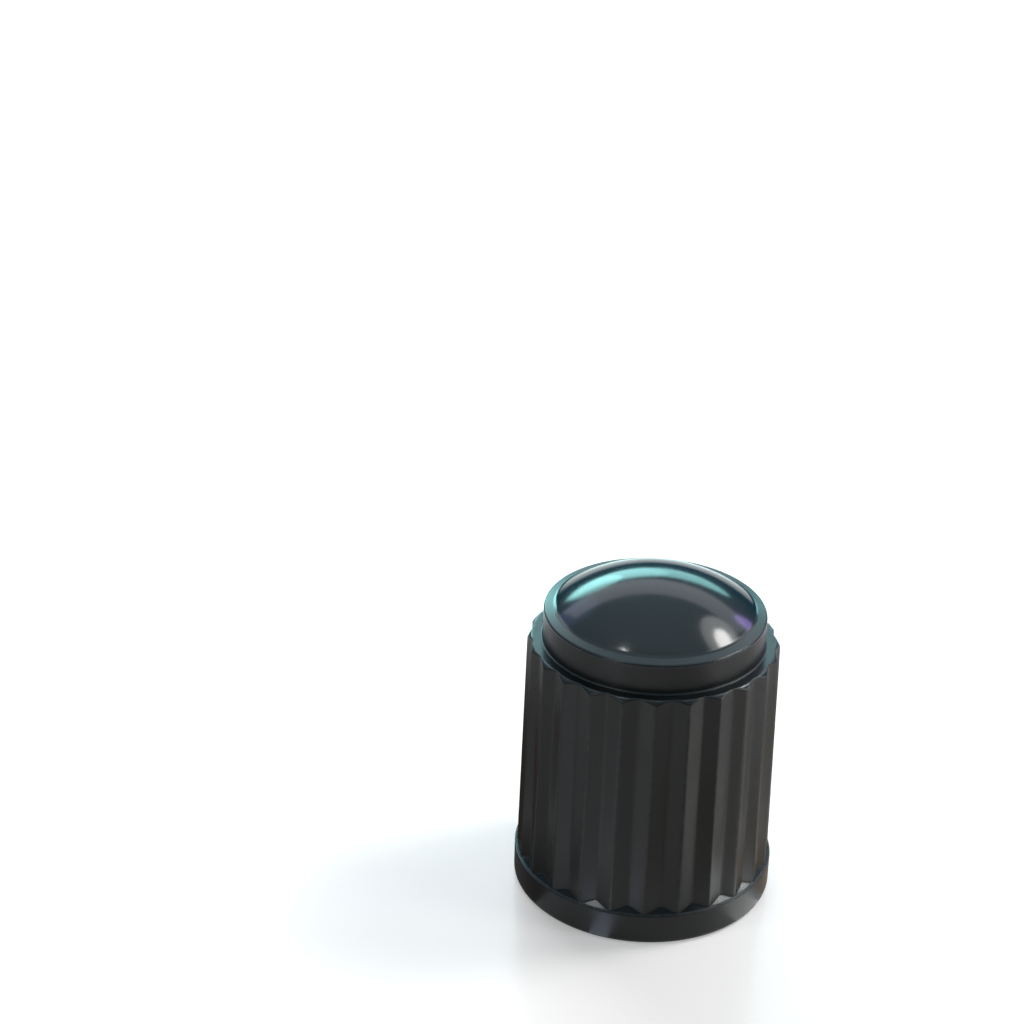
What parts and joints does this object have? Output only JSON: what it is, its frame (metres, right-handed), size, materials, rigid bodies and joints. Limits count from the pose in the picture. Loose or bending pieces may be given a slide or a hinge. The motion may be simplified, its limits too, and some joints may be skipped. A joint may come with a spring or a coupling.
{
  "type": "tyre valve cap",
  "caption": "Moulded plastic tyre valve dust cap: tapered barrel with V-shaped grip flutes, plain ring at the mouth, stepped collar with a sloped ledge and a domed top over a blind threaded bore.",
  "frame": {"origin": "centre of the mouth, in the plane of the rim that the cap stands on", "axes": "+Z along the axis of the thread, from the mouth to the dome; +X through the middle of a flute"},
  "size_m": [0.0098, 0.0098, 0.0127],
  "materials": {
    "black_plastic": "semi-gloss moulded black"
  },
  "bodies": {
    "root": {"valve_cap": "black_plastic"}
  },
  "joints": []
}
